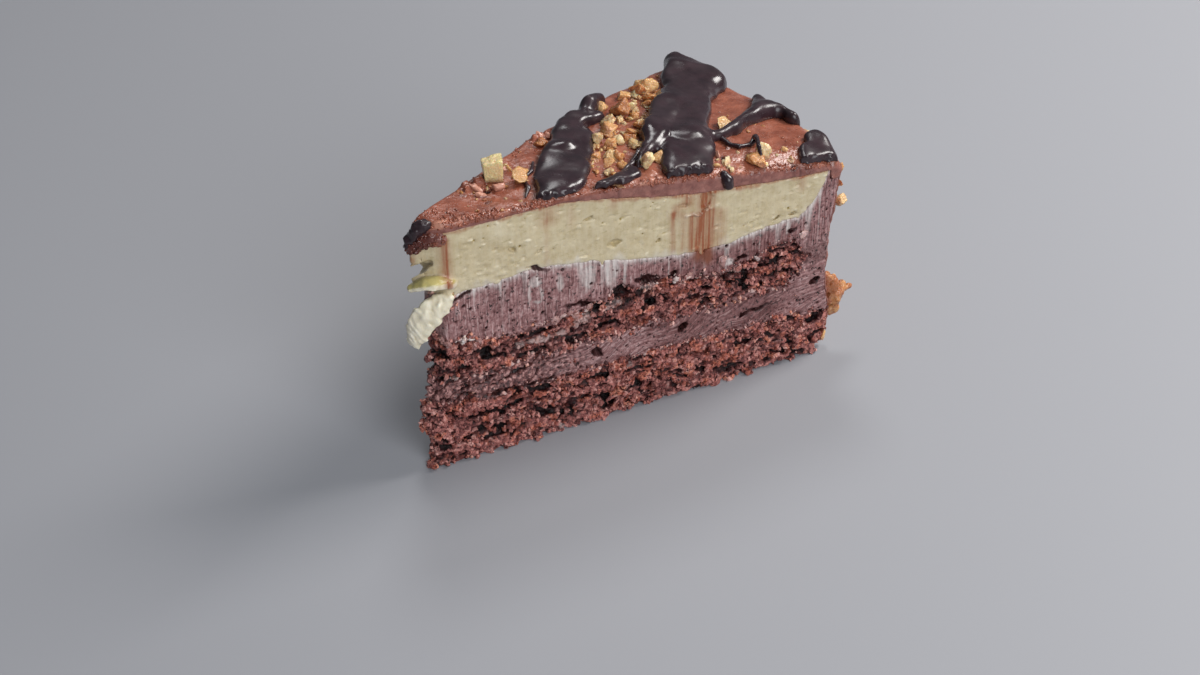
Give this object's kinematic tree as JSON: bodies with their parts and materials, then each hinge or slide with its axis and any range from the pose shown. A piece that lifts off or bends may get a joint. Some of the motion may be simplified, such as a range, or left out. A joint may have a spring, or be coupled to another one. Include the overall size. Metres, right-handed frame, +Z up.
{
  "type": "slice of layered hazelnut chocolate torte",
  "caption": "Tall wedge of layer torte: chocolate sponge, mousse, vanilla cream and milk-chocolate icing, with ganache pours and chopped hazelnuts.",
  "frame": {"origin": "on the resting plane, under the middle of the slice's box", "axes": "+X from the broken tip to the iced rim, +Y towards the far cut, +Z up"},
  "size_m": [0.1284, 0.0668, 0.0778],
  "materials": {
    "sponge": "open crumb, dry and matte",
    "mousse": "fine, soft satin with knife marks",
    "cream": "soft satin with small air holes",
    "icing": "satin milk-chocolate icing",
    "ganache": "glossy dark chocolate",
    "nut": "roast and chopped, slightly oily"
  },
  "bodies": {
    "root": {"base_sponge": "sponge", "sponge_disc": "sponge", "chocolate_mousse": "mousse", "vanilla_cream": "cream", "milk_icing": "icing", "ganache_left": "ganache", "ganache_middle": "ganache", "ganache_corner": "ganache", "ganache_front": "ganache", "ganache_tip": "ganache", "rim_nut": "nut"}
  },
  "joints": []
}
